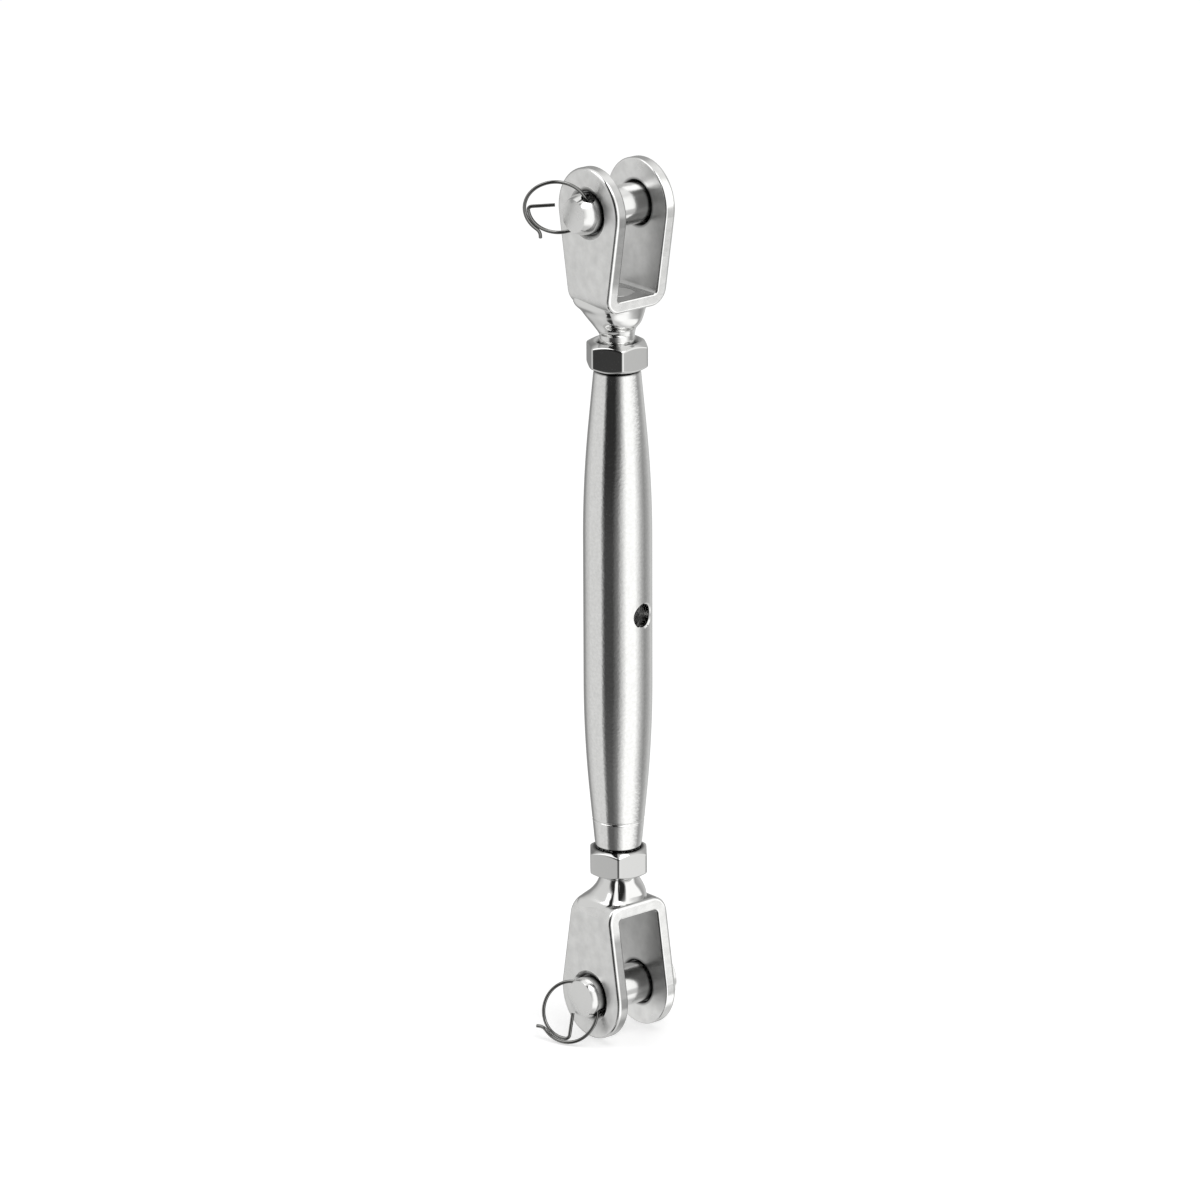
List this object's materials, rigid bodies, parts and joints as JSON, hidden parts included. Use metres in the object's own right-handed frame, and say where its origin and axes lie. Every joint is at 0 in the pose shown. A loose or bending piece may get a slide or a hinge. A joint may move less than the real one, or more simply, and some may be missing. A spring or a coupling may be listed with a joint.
{
  "type": "rigging screw",
  "caption": "Closed body rigging screw that tensions a shroud: a tapered turned body between two folded jaws with clevis pins, locknuts and split rings.",
  "frame": {"origin": "middle of the turned body on its own axis, level with the hole for a turning bar", "axes": "+Z along the screw towards the right-hand thread end, X along both clevis pins with the split rings at -X"},
  "size_m": [0.0333, 0.0206, 0.2084],
  "materials": {
    "polished_body": "mirror polished stainless steel with a fine turned grain",
    "polished_nut": "polished stainless steel",
    "satin_strap": "satin stainless steel with polished edges",
    "threaded_steel": "stainless steel, rolled thread and polished weld neck",
    "turned_pin": "turned stainless steel, satin end",
    "spring_wire": "bright stainless spring wire"
  },
  "bodies": {
    "lower_fork": {"lower_jaw": "satin_strap", "lower_stud": "threaded_steel"},
    "lower_nut": {"lower_locknut": "polished_nut"},
    "turned_body": {"barrel": "polished_body"},
    "upper_nut": {"upper_locknut": "polished_nut"},
    "upper_fork": {"upper_jaw": "satin_strap", "upper_stud": "threaded_steel"},
    "lower_pin": {"lower_clevis_pin": "turned_pin"},
    "upper_pin": {"upper_clevis_pin": "turned_pin"},
    "lower_ring": {"lower_split_ring": "spring_wire"},
    "upper_ring": {"upper_split_ring": "spring_wire"}
  },
  "joints": [
    {"name": "lower_travel", "type": "slide", "parent": "lower_fork", "child": "lower_nut", "axis": [0, 0, 1], "range_m": [0, 0.02]},
    {"name": "body_turn", "type": "hinge", "parent": "lower_nut", "child": "turned_body", "pos_m": [0, 0, 0], "axis": [0, 0, -1], "range_deg": [0, 5760]},
    {"name": "upper_nut_turn", "type": "hinge", "parent": "turned_body", "child": "upper_nut", "pos_m": [0, 0, 0.0606], "axis": [0, 0, -1], "range_deg": [-5760, 0]},
    {"name": "upper_travel", "type": "slide", "parent": "upper_nut", "child": "upper_fork", "axis": [0, 0, 1], "range_m": [0, 0.02]},
    {"name": "lower_pin_turn", "type": "hinge", "parent": "lower_fork", "child": "lower_pin", "pos_m": [0, 0, -0.0924], "axis": [1, 0, 0], "continuous": true},
    {"name": "upper_pin_turn", "type": "hinge", "parent": "upper_fork", "child": "upper_pin", "pos_m": [0, 0, 0.0949], "axis": [1, 0, 0], "continuous": true},
    {"name": "lower_ring_swing", "type": "hinge", "parent": "lower_pin", "child": "lower_ring", "pos_m": [-0.009, 0, -0.0924], "axis": [0, 0.7615, 0.6481], "range_deg": [-20, 120]},
    {"name": "upper_ring_swing", "type": "hinge", "parent": "upper_pin", "child": "upper_ring", "pos_m": [-0.0101, 0, 0.0949], "axis": [0, -0.4368, 0.8996], "range_deg": [-40, 120]}
  ],
  "couplings": [
    {"joint": "body_turn", "follows": "lower_travel", "rad_per_m": 5026.5},
    {"joint": "upper_nut_turn", "follows": "lower_travel", "rad_per_m": -5026.5},
    {"joint": "upper_travel", "follows": "lower_travel", "ratio": 1}
  ]
}
